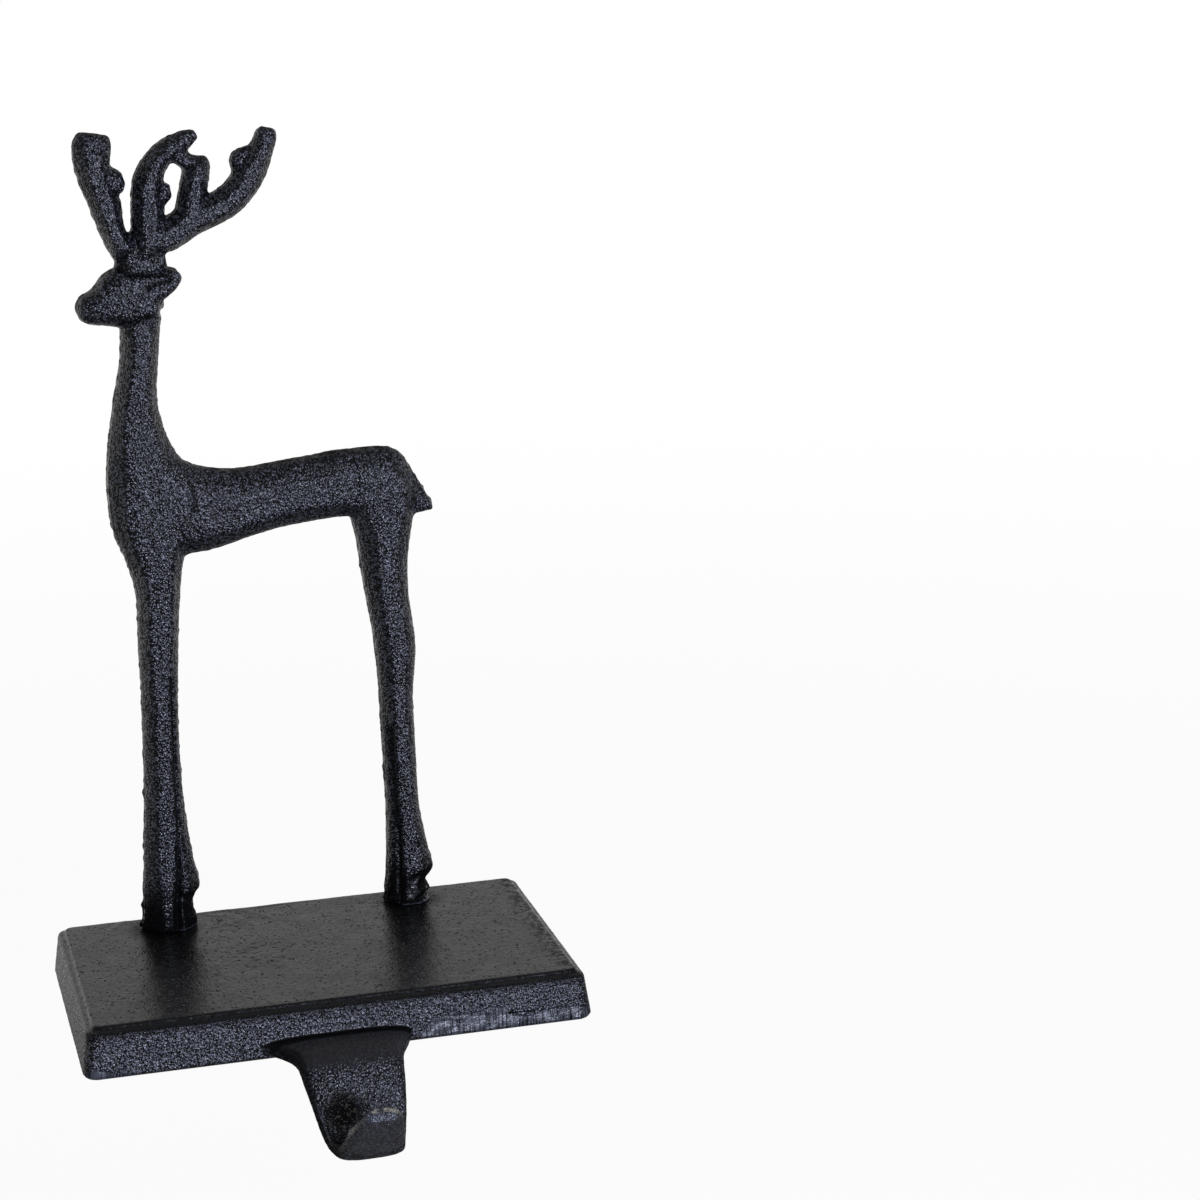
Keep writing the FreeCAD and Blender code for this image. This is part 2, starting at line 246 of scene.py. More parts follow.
def smooth_step(values, low, high):
    """0 below low, 1 above high and an even curve between."""
    share = np.clip((values - low) / (high - low), 0, 1)
    return share * share * (3 - 2 * share)


def store_mask(piece, name, values):
    """Keeps a value between 0 and 1 at each point, for the paint to read."""
    mask = piece.data.attributes.new(name, "FLOAT", "POINT")
    mask.data.foreach_set("value", np.clip(values, 0, 1))


def show_smooth(piece):
    piece.data.polygons.foreach_set("use_smooth", [True] * len(piece.data.polygons))
    piece.data.update()


# Marks of the reindeer's casting

def slope_sides(points, share_sloped):
    """Narrows the limbs' rounded sides to the plain slopes of a two-part mould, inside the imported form."""
    levels = (0, 10, 30, 75, 95, 118, 126, 150, 164, 170, 197)
    half_thick = (6.2, 5.8, 5.5, 6.1, 7.1, 7.2, 6.5, 6.3, 6.6, 5.1, 4.9)
    level = points[:, 2] - deck
    half = np.interp(level, levels, half_thick)
    out = points[:, 1] - mid_plane
    depth = np.clip(np.abs(out) / half, 0, 1)
    across = (1 - depth ** 3.1) ** (1 / 3.1)
    sloped = np.minimum(depth, np.clip(1.7 - 1.4 * across, 0, 1))
    on_head = smooth_step(level, 147, 151) * smooth_step(-level, -166, -163)
    change = share_sloped * (1 - 0.6 * on_head) * (sloped - depth)
    points[:, 1] += np.sign(out) * half * change


def sand_unevenness(points, on_edges, casting):
    """Relief left by the sand mould, stronger on the figure's edges than on its faces."""
    sand = unevenness(points, 1.5, casting.seed) + 0.6 * unevenness(points, 0.8, casting.seed + 1)
    waves = unevenness(points, 4.0, casting.seed + 2)
    return casting.sand_relief * 1000 * (sand * (0.55 + 0.75 * on_edges) + 0.7 * waves)


def parting_fin(points, on_edges, casting):
    """A ragged fin round the outline, where the mould's two parts met at the figure's mid-plane."""
    wander = 0.35 * unevenness(points, 9.0, casting.seed + 3)
    ragged = np.clip(0.45 + 0.9 * unevenness(points, 1.7, casting.seed + 4), 0.05, 1.2)
    fin = np.exp(-((points[:, 1] - mid_plane - wander) / 0.42) ** 2) * on_edges ** 2
    return casting.flash_height * 1000 * fin * ragged


def crease_depths(points, on_faces):
    """Depth of the pattern's creases on both faces, and how far each point lies in a narrow one, for the
    painted shade in it.
    """
    foreleg = [(-28.0, 76), (-28.5, 51), (-28.6, 41), (-28.8, 33), (-29.2, 25), (-29.8, 20), (-30.2, 12.4)]
    hind_leg = [(25.4, 58), (25.8, 40), (26.3, 32), (26.2, 24), (26.0, 19), (25.8, 12.4)]

    # Path of (x, z) points, half width and depth: legs, neck and haunch, then the head
    creases = [
        (foreleg, 0.5, 0.5),
        (foreleg[3:], 0.75, 0.7),
        ([(-29.9, 21.2), (-27.6, 20.4), (-24.6, 20.4)], 0.7, 0.6),
        (hind_leg, 0.9, 0.6),
        (hind_leg[2:], 0.6, 0.5),
        ([(29.2, 18.6), (31.6, 19.4), (34.6, 20.6)], 0.6, 0.55),
        ([(-20.5, 123.8), (-20.0, 120.6), (-20.8, 117.4)], 0.4, 0.4),
        ([(18.4, 124.0), (18.4, 118.6), (17.0, 113.5)], 2.6, 0.75),
        ([(-28.0, 171.7), (-25.7, 172.6), (-22.6, 173.4)], 0.7, 0.55),
        ([(-35.2, 177.0), (-32.1, 175.1), (-28.0, 175.0), (-22.4, 174.3)], 0.6, 0.5),
        ([(-35.4, 163.1), (-31.6, 163.8), (-26.9, 164.8)], 0.6, 0.5),
        ([(-33.2, 178.9), (-33.6, 177.4)], 0.9, 0.5),
    ]
    depths = np.zeros(len(points))
    narrow = np.zeros(len(points))
    for path, half_width, depth in creases:
        beside = along_path(points, path, half_width) * on_faces ** 0.5
        depths += depth * beside
        if half_width < 1:
            narrow = np.maximum(narrow, beside)
    return depths, narrow


def blemish_heights(points):
    """Small lumps and pits of the casting: centre, radius and height."""
    blemishes = [
        ((-25.3, mid_plane, 166.6), 1.0, 0.9),
        ((-39.1, mid_plane - 4.6, 203.8), 0.55, -0.55),
        ((-38.2, mid_plane, 18.0), 0.9, 0.6),
        ((-38.6, mid_plane, 12.8), 1.1, 0.7),
        ((-36.4, mid_plane, 29.6), 0.7, 0.45),
        ((-35.6, mid_plane + 0.5, 47.0), 0.6, 0.4),
        ((22.6, mid_plane, 12.6), 1.3, 0.8),
        ((22.9, mid_plane, 28.1), 0.7, 0.5),
        ((-40.6, mid_plane, 170.0), 0.8, 0.5),
        ((-36.2, mid_plane, 176.0), 0.7, 0.45),
        ((31.6, mid_plane, 62.0), 0.7, 0.4),
        ((-8.0, mid_plane - 6.9, 108.0), 1.0, 0.12),
    ]
    return sum(lift * near(points, centre, radius) for centre, radius, lift in blemishes)


def mark_reindeer(points, normals, casting):
    """Heights to add to the reindeer's skin, and how far each point lies in a crease, for the painted shade
    there.
    """
    on_faces = np.abs(normals[:, 1])
    on_edges = 1 - on_faces
    depths, crease_shade = crease_depths(points, on_faces)
    height = sand_unevenness(points, on_edges, casting) + parting_fin(points, on_edges, casting)
    height += blemish_heights(points) - depths

    # The soles stay flat on the base
    return height * smooth_step(points[:, 2], deck - 0.1, deck + 0.7), crease_shade


# Marks of the base's casting

def deck_ridges(points, upward):
    """Low ridges where the sand moved, on the deck beside the front foot: arcs seen from above."""
    on_deck = smooth_step(points[:, 2], deck - 0.6, deck - 0.2) * smooth_step(upward, 0.6, 0.95)
    from_above = points[:, [0, 2, 1]]

    # Path of (x, y) points, half width and height
    ridges = [
        ([(-21.5, 31.5), (-15.5, 28.0), (-11.5, 21.0), (-11.5, 13.0), (-15.0, 6.0)], 0.8, 0.06),
        ([(-20.5, 35.0), (-11.0, 31.0), (-6.0, 23.0), (-5.0, 15.0)], 0.7, 0.05),
        ([(-24.0, 33.0), (-17.5, 33.5), (-8.0, 33.0), (4.0, 34.5)], 0.8, 0.08),
        ([(-42.0, 33.5), (-47.0, 27.0), (-47.5, 18.0)], 0.9, 0.08),
    ]
    return on_deck * sum(lift * along_path(from_above, path, half_width) for path, half_width, lift in ridges)


def front_cuts(points, forward, seed):
    """Depth cut off the lower front where it was ground, and chipped off along its edge."""
    ragged = 1.6 * unevenness(points * np.array([1.0, 0.0, 0.0]), 6.0, seed + 3)
    ground = smooth_step(points[:, 0], 17.0, 22.0) * smooth_step(4.6 + ragged - points[:, 2], 0.0, 0.5)
    low_edge = np.exp(-((points[:, 2] - 0.5) / 1.1) ** 2) * smooth_step(-points[:, 1], 36.0, 37.2)
    chips = np.clip(unevenness(points, 3.2, seed + 5), 0, 1)
    return 0.08 * ground * forward + 0.3 * chips * low_edge


def mark_base(points, normals, casting):
    """Heights to add to the base's skin: sand relief, ridges on the deck and cuts in the front."""
    seed = casting.seed + 20
    upward = np.clip(normals[:, 2], 0, 1)
    forward = np.clip(-normals[:, 1], 0, 1)
    on_hook = smooth_step(-points[:, 1], 37.8, 41.0)
    sand = unevenness(points, 1.4, seed) + 0.6 * unevenness(points, 0.8, seed + 1)
    calm = 1 - 0.72 * smooth_step(upward, 0.6, 0.95) * (1 - on_hook)
    height = casting.sand_relief * 1000 * 0.5 * calm * (sand - 0.7)
    height += 0.05 * unevenness(points, 7.0, seed + 2) - 0.03
    height += deck_ridges(points, upward)
    height -= front_cuts(points, forward, seed) * (1 - on_hook)

    # The rest face stays flat
    underside = smooth_step(-normals[:, 2], 0.6, 0.95) * (1 - on_hook)
    return height * (1 - underside)


# Shader maths

class Wire:
    """One output inside a material, so that shader maths reads as plain arithmetic."""

    def __init__(self, tree, socket):
        self.tree = tree
        self.socket = socket

    def join(self, operation, left, right):
        node = self.tree.nodes.new("ShaderNodeMath")
        node.operation = operation
        for slot, value in zip(node.inputs, (left, right)):
            plug(self.tree, slot, value)
        return Wire(self.tree, node.outputs[0])

    def __add__(self, other):
        return self.join("ADD", self, other)

    def __radd__(self, other):
        return self.join("ADD", other, self)

    def __sub__(self, other):
        return self.join("SUBTRACT", self, other)

    def __rsub__(self, other):
        return self.join("SUBTRACT", other, self)

    def __mul__(self, other):
        return self.join("MULTIPLY", self, other)

    def __rmul__(self, other):
        return self.join("MULTIPLY", other, self)

    def __pow__(self, other):
        return self.join("POWER", self, other)


def plug(tree, slot, value):
    """Links a wire to a slot, or sets a plain value on it."""
    if isinstance(value, Wire):
        tree.links.new(value.socket, slot)
    else:
        slot.default_value = value


class Recipe:
    """The nodes of a material or a world under construction."""

    def __init__(self, owner):
        owner.use_nodes = True
        self.owner = owner
        self.tree = owner.node_tree
        self.tree.nodes.clear()

    def node(self, kind, settings, values, output=0):
        """Any node by its type: its settings first, then its sockets' values or wires."""
        node = self.tree.nodes.new(kind)
        for name, setting in settings.items():
            setattr(node, name, setting)
        for slot, value in values.items():
            plug(self.tree, node.inputs[slot], value)
        return Wire(self.tree, node.outputs[output]) if node.outputs else None

    def place(self):
        """The point on the piece in millimetres."""
        metres = self.node("ShaderNodeTexCoord", {}, {}, "Object")
        return self.node("ShaderNodeVectorMath", {"operation": "SCALE"}, {0: metres, "Scale": 1000.0})

    def facing(self):
        """The way the surface faces."""
        return self.node("ShaderNodeTexCoord", {}, {}, "Normal")

    def part(self, vector, axis):
        """The X, Y or Z of a vector."""
        return self.node("ShaderNodeSeparateXYZ", {}, {0: vector}, axis)

    def ray(self, kind):
        """1 for rays of a kind, such as Is Camera Ray, and 0 for the others."""
        return self.node("ShaderNodeLightPath", {}, {}, kind)

    def stretch(self, point, x, y, z):
        return self.node("ShaderNodeVectorMath", {"operation": "MULTIPLY"}, {0: point, 1: (x, y, z)})

    def lumps(self, point, size, detail=2.0, roughness=0.5):
        """Smooth random values about 0.5, in lumps of a size in millimetres."""
        values = {"Vector": point, "Scale": 1 / size, "Detail": detail, "Roughness": roughness}
        return self.node("ShaderNodeTexNoise", {}, values, 0)

    def specks(self, point, size):
        """Distance to the nearest of scattered points, for pits."""
        values = {"Vector": point, "Scale": 1 / size, "Randomness": 1.0}
        return self.node("ShaderNodeTexVoronoi", {"feature": "F1"}, values, 0)

    def sand(self, point, size):
        """The relief of sand grains of a size, as worn domes with hollows between, about 0 to 1."""
        values = {"Vector": point, "Scale": 1 / size, "Smoothness": 0.35, "Randomness": 1.0}
        domes = self.node("ShaderNodeTexVoronoi", {"feature": "SMOOTH_F1"}, values, 0)
        return 0.75 * (1 - domes) + 0.9 * self.lumps(point, size * 1.7) - 0.45

    def rise(self, value, low, high):
        """0 below low, 1 above high and an even curve between; the other way round if low is higher."""
        values = {"Value": value, "From Min": min(low, high), "From Max": max(low, high)}
        share = self.node("ShaderNodeMapRange", {"interpolation_type": "SMOOTHSTEP"}, values)
        return share if low < high else 1 - share

    def spot(self, point, centre, radius):
        """1 inside a soft ball about a centre, 0 outside it."""
        distance = self.node("ShaderNodeVectorMath", {"operation": "DISTANCE"}, {0: point, 1: centre}, 1)
        return self.rise(distance, radius, radius * 0.45)

    def cover(self, first, *others):
        """The share covered by masks laid over one another, each between 0 and 1."""
        bare = 1 - first
        for mask in others:
            bare = bare * (1 - mask)
        return 1 - bare

    def blend(self, share, first, second):
        values = {0: share, 6: first, 7: second}
        return self.node("ShaderNodeMix", {"data_type": "RGBA"}, values, 2)

    def bump(self, height, depth, below=None):
        """Relief of a depth in millimetres from a height between 0 and 1."""
        values = {"Height": height, "Strength": 1.0, "Distance": depth / 1000}
        if below:
            values["Normal"] = below
        return self.node("ShaderNodeBump", {}, values)

    def finish(self, shader, kind="ShaderNodeOutputMaterial"):
        """Ends the recipe with its shader and gives back the material or world."""
        self.node(kind, {}, {"Surface": shader})
        return self.owner

    def paint(self, values, dark=None):
        """Ends the recipe with the shader that has these values, turned matt black by a share."""
        shader = self.node("ShaderNodeBsdfPrincipled", {}, values)
        if dark:
            black = self.node("ShaderNodeBsdfDiffuse", {}, {"Color": matt_black})
            shader = self.node("ShaderNodeMixShader", {}, {0: dark, 1: shader, 2: black})
        return self.finish(shader)


# Materials

class Skin:
    """Places, directions and grain on a casting's surface, as wires for its paint."""

    def __init__(self, recipe, paint):
        self.recipe = recipe
        self.paint = paint
        self.point = recipe.place()
        self.x, self.y, self.z = (recipe.part(self.point, axis) for axis in "XYZ")
        facing = recipe.facing()
        self.face_x, self.face_y, self.face_z = (recipe.part(facing, axis) for axis in "XYZ")
        self.grain = recipe.sand(self.point, paint.grain * 1000)
        self.grain_height = paint.grain_height * 1000
        self.coarse = recipe.lumps(self.point, paint.grain * 2600)
        # Painted highlight: grain tops take the lighter lit colour. Painted shade: the hollows between grains
        # turn matt black.
        self.lit_grains = recipe.rise(self.grain, 0.36, 0.56)
        self.shaded_hollows = recipe.rise(self.grain, 0.44, 0.28)


def figure_paint(paint):
    """Satin black paint over the reindeer's rough sand-cast skin, thick on the feet, with painted highlights
    on its grains and painted shade in its hollows, creases and tops.
    """
    recipe = Recipe(bpy.data.materials.new("Figure paint"))
    skin = Skin(recipe, paint)
    broad = recipe.lumps(skin.point, 9.0)
    dipped = recipe.rise(skin.z + 5.0 * recipe.lumps(skin.point, 3.0), deck + 17.0, deck + 7.0)
    lit_grains = skin.lit_grains * (0.55 + 0.7 * broad) * (1 - dipped)
    # Painted highlight: a broken light line along the edge of the soles
    sole_edge_highlight = recipe.rise(skin.z, deck + 0.8, deck + 0.4) * recipe.rise(broad, 0.42, 0.50)
    colour = recipe.blend(lit_grains, paint.paint_black, paint.paint_lit)
    colour = recipe.blend(sole_edge_highlight, colour, paint.ground_iron_and_highlight)
    relief = recipe.bump(skin.coarse * (1 - 0.6 * dipped), 0.12)
    relief = recipe.bump(skin.grain * (1 - 0.8 * dipped), skin.grain_height, relief)

    # Matt black as painted shade in the hollows between grains, in the creases and on the upward tops, and as
    # the painted dark reflection on the glossy feet but for a few glints
    crease_shade = recipe.node("ShaderNodeAttribute", {"attribute_name": "crease_shade"}, {}, "Fac")
    glints = recipe.rise(recipe.lumps(skin.point, 0.9), 0.58, 0.66)
    dark_reflection_on_feet = dipped * (1 - glints) * (1 - sole_edge_highlight)
    top_shade = recipe.rise(skin.face_z, 0.80, 1.0)
    return recipe.paint({
        "Base Color": colour,
        "Roughness": paint.gloss + 0.22 * (skin.coarse - 0.5) - 0.14 * dipped,
        "Normal": relief,
        "Specular IOR Level": 0.8,
    }, recipe.cover(0.55 * skin.shaded_hollows, 0.9 * dark_reflection_on_feet, 0.9 * crease_shade, 0.5 * top_shade))


class BaseSkin(Skin):
    """The base's surface, with a mask for each of its regions and marks."""

    def __init__(self, recipe, paint):
        super().__init__(recipe, paint)
        self.upward = recipe.rise(self.face_z, 0.55, 0.92)
        self.forward = recipe.rise(self.face_y, -0.35, -0.8)
        self.on_hook = recipe.rise(self.y, -37.6, -39.0)
        self.find_deck()
        self.find_grinding()
        self.find_web()
        self.find_tip()

    def find_deck(self):
        """The smoother deck and rim, with small pits painted dark as shade in them, and darker blotches."""
        recipe = self.recipe
        rim = recipe.rise(self.z, ledge - 0.9, ledge - 0.3)
        self.smooth = recipe.cover(self.upward, rim) * (1 - self.on_hook)
        specks = recipe.specks(recipe.stretch(self.point, 1.0, 0.55, 1.0), 0.95)
        patches = recipe.lumps(self.point, 2.4, 3.0, 0.6)
        self.pits = recipe.rise(specks, 0.38, 0.25) * recipe.rise(patches, 0.40, 0.66)
        self.blotches = recipe.rise(recipe.lumps(self.point, 5.0, 4.0, 0.6), 0.62, 0.36)

    def find_grinding(self):
        """Upright streaks along the lower front, with patches left unground."""
        recipe = self.recipe
        self.streaks = recipe.lumps(recipe.stretch(self.point, 1.0, 0.1, 0.06), 0.30, 2.0, 0.6)
        self.streak_tone = recipe.rise(self.streaks, 0.34, 0.58)
        edge = recipe.lumps(recipe.stretch(self.point, 1.0, 0.0, 0.35), 4.2)
        reach = 5.8 * recipe.rise(self.x, 16.0, 22.0) - 2.0 * recipe.rise(self.x, 38.8, 39.4)
        reach = reach + 2.4 * recipe.rise(self.x, -46.0, -54.0)
        low = recipe.rise(reach + 3.0 * (edge - 0.5) - self.z, 0.0, 0.6) * recipe.rise(self.z, -0.2, 0.5)
        self.ground = low * self.forward * (1 - self.on_hook)

    def find_web(self):
        """The hook's upward top, the rusty hollow in its web, and a thin light line painted down the web's
        left edge.
        """
        recipe = self.recipe
        self.tongue = self.on_hook * recipe.rise(self.face_z, 0.3, 0.6) * recipe.rise(self.z, 0.5, 2.5)
        self.hollow = recipe.spot(self.point, (-4.4, -56.0, -6.6), 5.6)
        self.rust_specks = recipe.rise(self.grain, 0.44, 0.60)
        from_edge_line = self.x + 9.1 + 0.278 * (self.z + 8.0)
        along_edge_line = recipe.spot(self.point, (-9.0, -57.0, -8.6), 7.0)
        self.light_edge_line = recipe.rise(from_edge_line ** 2, 0.12, 0.02) * along_edge_line

    def find_tip(self):
        """The hook's tip, rubbed along its top, with a brass-coloured painted highlight on its rim, and the
        painted reflection on the flat tip and the hook's top.
        """
        recipe = self.recipe
        self.on_tip = recipe.rise(self.y, -66.6, -68.4)
        worn_width = recipe.rise((self.x - 1.4) ** 2, 16.0, 8.0)
        self.worn = self.on_tip * recipe.rise(self.z, -3.6, -3.0) * worn_width
        # Painted highlight: a brass-coloured glint along the tip's rim
        glint = recipe.rise(self.y, -65.0, -66.5) * recipe.rise(self.x, -1.5, 0.5)
        glint = glint * recipe.rise(self.z + 0.06 * (self.x - 2.0) ** 2, -1.5, -0.9)
        self.glint = glint * recipe.rise(self.coarse, 0.42, 0.52)
        self.flat_tip = self.on_tip * (1 - self.worn)
        # Painted reflection: the flat tip and the hook's top take a lighter grey
        self.hook_sheen = recipe.cover(0.6 * self.flat_tip, 0.8 * self.tongue)

    def colour(self):
        """The colours of the paints and marks, each laid over the ones before, with painted highlights on the
        grain tops and the tip's rim and a painted reflection on the hook's top and tip.
        """
        recipe = self.recipe
        paint = self.paint
        broad = recipe.lumps(self.point, 11.0)
        # Painted highlight on the grain tops of the sides, half as strong on the hook
        lit_grains = self.lit_grains * (1.45 + 0.85 * broad) * (1 - 0.5 * self.on_hook)
        sides = recipe.blend(lit_grains, paint.paint_black, paint.paint_lit)
        panel = recipe.blend(0.35 * self.blotches + 0.18 * lit_grains, paint.deck_grey, paint.paint_black)
        # Painted shade in the deck's pits
        panel = recipe.blend(0.85 * self.pits, panel, paint.paint_black)
        streaked = recipe.blend(self.streak_tone, paint.paint_black, paint.ground_iron_and_highlight)
        rusty = recipe.blend(self.rust_specks, matt_black, paint.rust)
        colour = recipe.blend(self.smooth, sides, panel)
        colour = recipe.blend(0.85 * self.ground, colour, streaked)
        colour = recipe.blend(self.hollow, colour, rusty)
        colour = recipe.blend(0.8 * self.light_edge_line * self.forward, colour, paint.ground_iron_and_highlight)
        colour = recipe.blend(self.worn * (0.5 + 0.5 * self.streak_tone), colour, paint.ground_iron_and_highlight)
        colour = recipe.blend(0.8 * self.glint, colour, paint.rim_glint_colour)
        return recipe.blend(self.hook_sheen, colour, paint.hook_sheen_grey)

    def marks_and_feet_shade(self):
        """Scuffs beside the feet, a stained right end, and painted shade and dark reflection round the feet.
        """
        recipe = self.recipe
        scuffs = recipe.lumps(recipe.stretch(self.point, 0.5, 1.0, 1.0), 1.5, 4.0, 0.6)
        scuffed = recipe.spot(self.point, (-13.0, -0.5, deck), 13.0)
        scuffed = scuffed + recipe.spot(self.point, (-17.0, 25.0, deck), 10.0)
        scuffed = scuffed + recipe.spot(self.point, (21.0, 28.0, deck), 7.0)
        right_end = recipe.rise(self.x, 51.0, 55.0) * recipe.rise(self.x, 58.0, 57.2)
        stained = right_end * recipe.rise(self.coarse, 0.42, 0.56)
        # Painted shade and dark reflection of the legs round the feet
        feet_shade_and_reflection = recipe.spot(self.point, (-33.5, 25.5, deck), 11.0)
        feet_shade_and_reflection = feet_shade_and_reflection + recipe.spot(self.point, (29.0, 26.0, deck), 10.0)
        return recipe.cover(0.6 * recipe.rise(scuffs, 0.53, 0.63) * scuffed, 0.5 * stained, 0.6 * feet_shade_and_reflection)

    def front_rim(self):
        """Painted shade in a dark band below the deck's front edge, but for the thin lit line of the ledge.
        """
        recipe = self.recipe
        band = recipe.rise(self.z, ledge - 2.2, ledge - 1.2) * recipe.rise(self.z, deck - 0.05, deck - 0.3)
        ledge_line = recipe.rise((self.z - ledge) ** 2, 0.10, 0.01)
        return band * recipe.rise(self.y, -30.0, -34.0) * (1 - 0.9 * ledge_line)

    def hook_corner_shade(self):
        """Painted shade in the corner where the hook leaves the base's front."""
        recipe = self.recipe
        corner = recipe.rise(self.y, -37.2, -37.8) * recipe.rise(self.y, -40.6, -39.2)
        return corner * recipe.rise(self.face_z, 0.15, 0.4)

    def hook_side_shade(self):
        """Painted shade on the left side of the hook, away from the lamps, but for the thin light line on its
        edge.
        """
        recipe = self.recipe
        side = recipe.rise(self.face_x, -0.2, -0.55) * recipe.rise(self.y, -66.0, -62.0)
        return self.on_hook * side * (1 - self.light_edge_line)

    def uncut_line(self):
        """The thin step over the part of the lower front that was ground less."""
        recipe = self.recipe
        line = recipe.rise((self.z - 3.9 + 0.03 * (self.x - 42.0)) ** 2, 0.09, 0.01)
        return line * recipe.rise(self.x, 38.9, 39.5) * recipe.rise(self.x, 46.2, 45.6) * self.forward

    def dark(self):
        """How far the paint shows matt black: painted shade in the grain hollows, the pits, the front rim and
        the hook's corner, side, web and top, painted shade and dark reflection round the feet, and the dark
        of scuffs, stains, grinding, the uncut step and the rusty hollow.
        """
        bare_grain = (1 - 0.6 * self.smooth) * (1 - self.ground) * (1 - self.hook_sheen)
        web_shade = self.on_hook * (1 - self.on_tip) * (1 - self.tongue)
        return self.recipe.cover(
            0.42 * self.shaded_hollows * bare_grain,
            0.62 * self.pits * self.smooth,
            self.upward * self.marks_and_feet_shade(),
            0.48 * self.front_rim(),
            0.7 * self.ground * (1 - self.streak_tone),
            0.9 * self.uncut_line(),
            0.8 * self.hollow * (1 - self.rust_specks),
            0.85 * self.hook_corner_shade(),
            0.7 * self.hook_side_shade(),
            # Painted shade on the hook's web and top
            0.12 * web_shade,
            0.35 * self.tongue,
        )

    def relief(self):
        """Coarse lumps, grains, pits and streaks, each lower where the paint is smoother."""
        recipe = self.recipe
        calm = (1 - 0.90 * self.smooth) * (1 - 0.9 * self.ground)
        calm = calm * (1 - 0.7 * self.flat_tip) * (1 - 0.6 * self.tongue)
        relief = recipe.bump(self.coarse * (1 - self.ground) * (1 - 0.6 * self.smooth), 0.12)
        relief = recipe.bump(self.grain * calm, self.grain_height, relief)
        relief = recipe.bump(1 - self.pits, 0.12, relief)
        return recipe.bump(self.streaks * (self.ground + self.worn), 0.06, relief)


def base_paint(paint):
    """Black paint on the base: satin on the deck, rough on the sides, streaked where ground."""
    recipe = Recipe(bpy.data.materials.new("Base paint"))
    skin = BaseSkin(recipe, paint)
    uneven_gloss = 0.2 * (skin.coarse - 0.5) + 0.06 * skin.smooth * skin.blotches
    return recipe.paint({
        "Base Color": skin.colour(),
        "Roughness": paint.gloss + uneven_gloss + 0.4 * skin.hollow,
        "Normal": skin.relief(),
        "Specular IOR Level": 0.8,
    }, skin.dark())


def screw_steel():
    """Zinc-plated steel with fine turning marks."""
    recipe = Recipe(bpy.data.materials.new("Screw steel"))
    point = recipe.place()
    marks = recipe.lumps(recipe.stretch(point, 1.0, 1.0, 6.0), 0.5)
    haze = recipe.lumps(point, 1.8, 3.0)
    colour = recipe.blend(haze, (0.46, 0.46, 0.44, 1.0), (0.62, 0.61, 0.57, 1.0))
    return recipe.paint({
        "Base Color": colour,
        "Metallic": 1.0,
        "Roughness": 0.30 + 0.2 * haze,
        "Normal": recipe.bump(marks, 0.01),
    })


def floor_white(room):
    """White floor that keeps the holder's shadow; gloss shows it dim in front and white behind."""
    recipe = Recipe(bpy.data.materials.new("Floor white"))
    point = recipe.place()
    glossy = recipe.ray("Is Glossy Ray")
    far = recipe.node("ShaderNodeVectorMath", {"operation": "LENGTH"}, {0: point}, 1)
    white = recipe.ray("Is Camera Ray") * (0.94 + 0.06 * recipe.rise(far, 350.0, 1400.0))
    share = white + 0.9 * glossy * recipe.rise(recipe.part(point, "Y"), 80.0, 600.0)
    matt = recipe.node("ShaderNodeBsdfDiffuse", {}, {"Color": (0.92, 0.92, 0.92, 1.0)})
    dim = recipe.node("ShaderNodeEmission", {}, {"Color": pure_white, "Strength": 1.2 * room})
    glow = recipe.node("ShaderNodeEmission", {}, {"Color": pure_white, "Strength": 1.0})
    below = recipe.node("ShaderNodeMixShader", {}, {0: glossy, 1: matt, 2: dim})
    return recipe.finish(recipe.node("ShaderNodeMixShader", {}, {0: share, 1: below, 2: glow}))


def studio_world(light, room):
    """Even light from all round, which gloss shows as a white sweep behind and a dim room in front."""
    recipe = Recipe(bpy.data.worlds.new("Studio"))
    direction = recipe.node("ShaderNodeTexCoord", {}, {}, "Generated")
    depth = recipe.part(direction, "Y")
    height = recipe.part(direction, "Z")
    behind = recipe.rise(depth, -0.25, 0.45) * (1 - 0.85 * recipe.rise(height, 0.15, 0.85))
    sweep = room + (0.60 - room) * behind
    seen = recipe.ray("Is Camera Ray")
    reflected = recipe.ray("Is Glossy Ray") + recipe.ray("Is Transmission Ray")
    strength = light * (1 - seen - reflected) + seen + sweep * reflected
    shader = recipe.node("ShaderNodeBackground", {}, {"Color": pure_white, "Strength": strength})
    return recipe.finish(shader, "ShaderNodeOutputWorld")


# Studio

def add_camera(scene, studio):
    camera = bpy.data.objects.new("Camera", bpy.data.cameras.new("Camera"))
    scene.collection.objects.link(camera)
    camera.data.lens = studio.camera_lens
    camera.data.sensor_width = 36
    camera.data.clip_start = 0.01
    sight = Vector(studio.camera_aim) - Vector(studio.camera_place)
    turned = sight.to_track_quat("-Z", "Y").to_matrix().to_4x4()
    roll = Matrix.Rotation(studio.camera_roll, 4, "Z")
    camera.matrix_world = Matrix.Translation(studio.camera_place) @ turned @ roll
    scene.camera = camera


def add_lamp(name, place, aim, size, power, colour):
    """A rectangular soft lamp that looks at a point."""
    lamp = bpy.data.objects.new(name, bpy.data.lights.new(name, "AREA"))
    bpy.context.scene.collection.objects.link(lamp)
    lamp.data.shape = "RECTANGLE"
    lamp.data.size, lamp.data.size_y = size
    lamp.data.energy = power
    lamp.data.color = colour
    lamp.location = place
    lamp.rotation_euler = (Vector(aim) - Vector(place)).to_track_quat("-Z", "Y").to_euler()


def add_floor(drop, room):
    """A wide white floor under the holder."""
    half = 6.0
    corners = [(-half, -half, -drop), (half, -half, -drop), (half, half, -drop), (-half, half, -drop)]
    mesh = bpy.data.meshes.new("Floor")
    mesh.from_pydata(corners, [], [(0, 1, 2, 3)])
    mesh.materials.append(floor_white(room))
    floor = bpy.data.objects.new("Floor", mesh)
    bpy.context.scene.collection.objects.link(floor)


# Operators, one for each piece and one for the studio

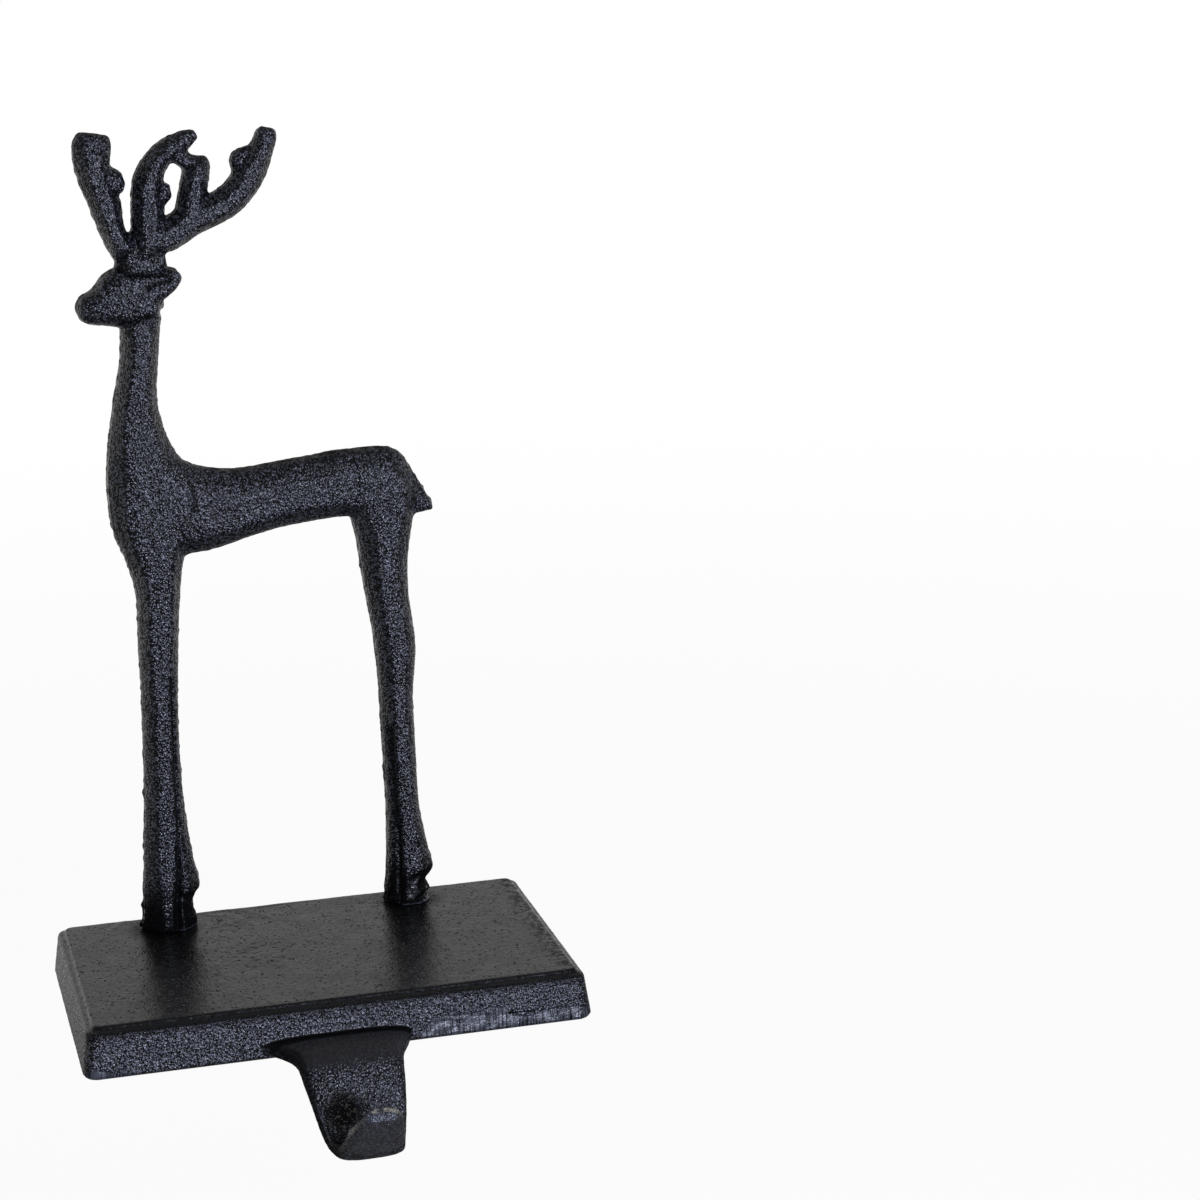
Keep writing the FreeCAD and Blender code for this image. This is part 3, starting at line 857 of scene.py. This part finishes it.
def dress(piece, node_name, material):
    """Gives a finished piece its material in a slot and its body, and hides the imported node it replaces."""
    piece.data.materials.clear()
    piece.data.materials.append(material)
    show_smooth(piece)
    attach(piece, "root")
    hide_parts(node_name)


class HOLDER_OT_reindeer(bpy.types.Operator):
    """Cast the reindeer, with its parting line, creases and rough skin"""
    bl_idname = "holder.reindeer"
    bl_label = "Cast the reindeer"

    def execute(self, context):
        casting = context.scene.holder_casting
        piece = make_skin("reindeer", "reindeer_casting", casting.figure_mesh, 6)
        points, normals = read_surface(piece)
        height, crease_shade = mark_reindeer(points, normals, casting)
        # The crease mask goes to the paint as painted shade in the creases
        store_mask(piece, "crease_shade", crease_shade)
        slope_sides(points, casting.side_slope)
        write_surface(piece, points + normals * height[:, None])
        dress(piece, "reindeer", figure_paint(context.scene.holder_paint))
        return {"FINISHED"}


class HOLDER_OT_base(bpy.types.Operator):
    """Cast the base and its hook, with ground edges and ridges on the deck"""
    bl_idname = "holder.base"
    bl_label = "Cast the base and hook"

    def execute(self, context):
        casting = context.scene.holder_casting
        piece = make_skin("base", "base_casting", casting.base_mesh, 4)
        points, normals = read_surface(piece)
        height = mark_base(points, normals, casting)
        write_surface(piece, points + normals * height[:, None])
        thin = piece.modifiers.new("Thinned flats", "DECIMATE")
        thin.ratio = casting.flat_share
        apply_modifiers(piece)
        dress(piece, "base", base_paint(context.scene.holder_paint))
        return {"FINISHED"}


class HOLDER_OT_screws(bpy.types.Operator):
    """Give the two fixing screws their zinc-plated steel"""
    bl_idname = "holder.screws"
    bl_label = "Finish the screws"

    def execute(self, context):
        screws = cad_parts["fixing_screws"]
        if not screws.material_slots:
            raise RuntimeError("The screws have no material slot")
        steel = screw_steel()
        for slot in screws.material_slots:
            slot.material = steel
        return {"FINISHED"}


class HOLDER_OT_studio(bpy.types.Operator):
    """Set up the camera, the soft lamps and the white floor"""
    bl_idname = "holder.studio"
    bl_label = "Set up the studio"

    def execute(self, context):
        studio = context.scene.holder_studio
        context.scene.view_settings.view_transform = "Standard"
        add_camera(context.scene, studio)
        level_aim = (0.0, 0.0, studio.lamp_place[2])
        add_lamp("Front lamp", studio.lamp_place, level_aim, (studio.lamp_width, studio.lamp_height),
                 studio.front_lamp, studio.lamp_colour)
        add_lamp("Upper lamp", studio.upper_place, (0.0, 0.0, 0.08),
                 (studio.upper_width, studio.upper_height), studio.upper_lamp, studio.lamp_colour)
        context.scene.world = studio_world(studio.world_light, studio.room_dark)
        add_floor(studio.floor_drop, studio.room_dark)
        return {"FINISHED"}


class HOLDER_PT_panel(bpy.types.Panel):
    bl_label = "Stocking holder"
    bl_idname = "HOLDER_PT_panel"
    bl_space_type = "VIEW_3D"
    bl_region_type = "UI"
    bl_category = "Holder"

    def draw(self, context):
        for group in (context.scene.holder_casting, context.scene.holder_paint, context.scene.holder_studio):
            box = self.layout.box()
            for name in group.__annotations__:
                box.prop(group, name)
        for operator in operators:
            self.layout.operator(operator.bl_idname)


operators = (HOLDER_OT_reindeer, HOLDER_OT_base, HOLDER_OT_screws, HOLDER_OT_studio)
classes = (CastingSettings, PaintSettings, StudioSettings) + operators + (HOLDER_PT_panel,)


def register():
    for cls in classes:
        bpy.utils.register_class(cls)
    bpy.types.Scene.holder_casting = bpy.props.PointerProperty(type=CastingSettings)
    bpy.types.Scene.holder_paint = bpy.props.PointerProperty(type=PaintSettings)
    bpy.types.Scene.holder_studio = bpy.props.PointerProperty(type=StudioSettings)


def unregister():
    del bpy.types.Scene.holder_studio
    del bpy.types.Scene.holder_paint
    del bpy.types.Scene.holder_casting
    for cls in reversed(classes):
        bpy.utils.unregister_class(cls)


def main():
    register()
    bpy.ops.holder.reindeer()
    bpy.ops.holder.base()
    bpy.ops.holder.screws()
    bpy.ops.holder.studio()
    bpy.context.view_layer.update()


if __name__ == "__main__":
    main()
